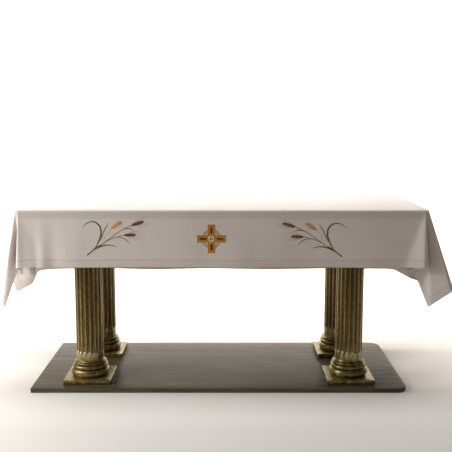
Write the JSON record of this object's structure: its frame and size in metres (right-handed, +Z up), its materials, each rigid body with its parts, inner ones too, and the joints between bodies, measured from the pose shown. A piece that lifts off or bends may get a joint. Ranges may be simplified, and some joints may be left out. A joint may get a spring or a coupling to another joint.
{
  "type": "altar cloth on altar table",
  "caption": "Hemmed altar cloth draped over a long altar table, its corners hanging in folded flaps, on fluted columns with ringed bases and a low slab",
  "frame": {"origin": "centre of the underside of the base slab, on the floor", "axes": "+X along the altar to the right as the congregation sees it, -Y towards the congregation, +Z up"},
  "size_m": [2.6279, 0.9262, 1.0045],
  "materials": {
    "linen": "off-white plain-woven linen-look cloth, matte, with satin-stitch embroidery",
    "board": "plain brown wood",
    "column_metal": "antique brass, dark in the flutes and bright on the ridges",
    "slab": "dark olive-brown lacquered board, polished"
  },
  "bodies": {
    "root": {"cloth": "linen", "table_top": "board", "base_slab": "slab", "front_left_plinth": "column_metal", "front_left_base": "column_metal", "front_left_shaft": "column_metal", "front_left_capital": "column_metal", "front_left_abacus": "column_metal", "rear_left_plinth": "column_metal", "rear_left_base": "column_metal", "rear_left_shaft": "column_metal", "rear_left_capital": "column_metal", "rear_left_abacus": "column_metal", "front_right_plinth": "column_metal", "front_right_base": "column_metal", "front_right_shaft": "column_metal", "front_right_capital": "column_metal", "front_right_abacus": "column_metal", "rear_right_plinth": "column_metal", "rear_right_base": "column_metal", "rear_right_shaft": "column_metal", "rear_right_capital": "column_metal", "rear_right_abacus": "column_metal"}
  },
  "joints": []
}
